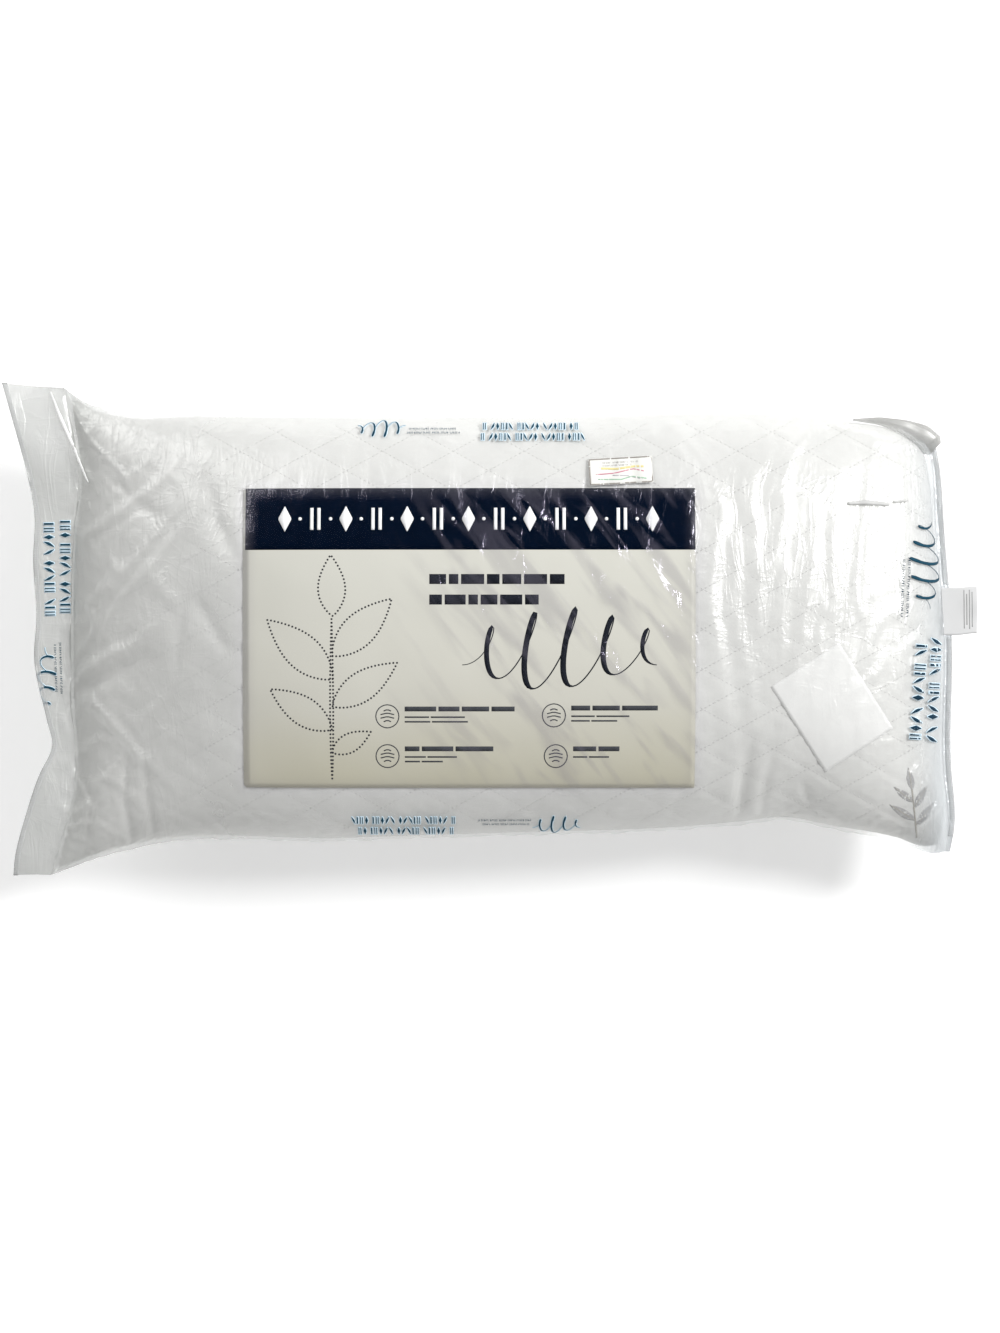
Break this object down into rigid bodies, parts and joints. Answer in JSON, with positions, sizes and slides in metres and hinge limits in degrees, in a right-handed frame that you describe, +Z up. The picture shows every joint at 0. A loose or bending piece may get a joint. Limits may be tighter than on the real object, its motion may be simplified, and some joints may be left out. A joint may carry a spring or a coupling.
{
  "type": "packed bed pillow",
  "caption": "Plump quilted bed pillow lying in a sealed clear film bag, with a printed insert card, a flat film tail at one end and a care label at the other.",
  "frame": {"origin": "on the surface that the pack lies on, under the middle of its bounding box", "axes": "+X along the pillow, from the film tail towards the care label, +Y across it, towards the top edge of the insert card, +Z up"},
  "size_m": [0.948, 0.482, 0.19],
  "materials": {
    "clear_film": "clear polythene film, glossy and creased",
    "film_weld": "fused film, slightly cloudy, ribbed",
    "printed_card": "folded card, matt cream with a dark navy band",
    "sticker_paper": "small framed sticker with coloured lines",
    "leaflet_paper": "plain white paper",
    "cotton_cover": "fine woven white cotton, quilted in diamonds",
    "wadding": "soft white non-woven wadding",
    "backing_cloth": "thin white non-woven cloth",
    "fibre_fill": "loose white polyester fibre",
    "white_thread": "white polyester sewing thread",
    "grey_thread": "grey rayon embroidery thread with a slight sheen",
    "label_satin": "white printed satin ribbon"
  },
  "bodies": {
    "pack": {"bag_film": "clear_film", "label_end_weld": "film_weld", "insert_card": "printed_card", "contents_sticker": "sticker_paper", "paper_leaflet": "leaflet_paper", "cover_top": "cotton_cover", "cover_bottom": "cotton_cover", "wadding_top": "wadding", "wadding_bottom": "wadding", "backing_top": "backing_cloth", "backing_bottom": "backing_cloth", "fibre_fill": "fibre_fill", "quilting_thread_top": "white_thread", "quilting_thread_bottom": "white_thread", "seam_thread": "white_thread", "closing_thread": "white_thread", "corner_embroidery": "grey_thread", "care_label_sewn_end": "label_satin"},
    "film_tail": {"tail_top_ply": "clear_film", "tail_bottom_ply": "clear_film", "tail_end_weld": "film_weld"},
    "label": {"care_label_tab": "label_satin"}
  },
  "joints": [
    {"name": "tail_fold", "type": "hinge", "parent": "pack", "child": "film_tail", "pos_m": [-0.4042, 0, 0.088], "axis": [0, 1, 0], "range_deg": [-85, 85], "stiffness_Nm_per_rad": 0.01},
    {"name": "label_flip", "type": "hinge", "parent": "pack", "child": "label", "pos_m": [0.4555, 0, 0.08805], "axis": [0, 1, 0], "range_deg": [-75, 75], "stiffness_Nm_per_rad": 0.0005}
  ]
}
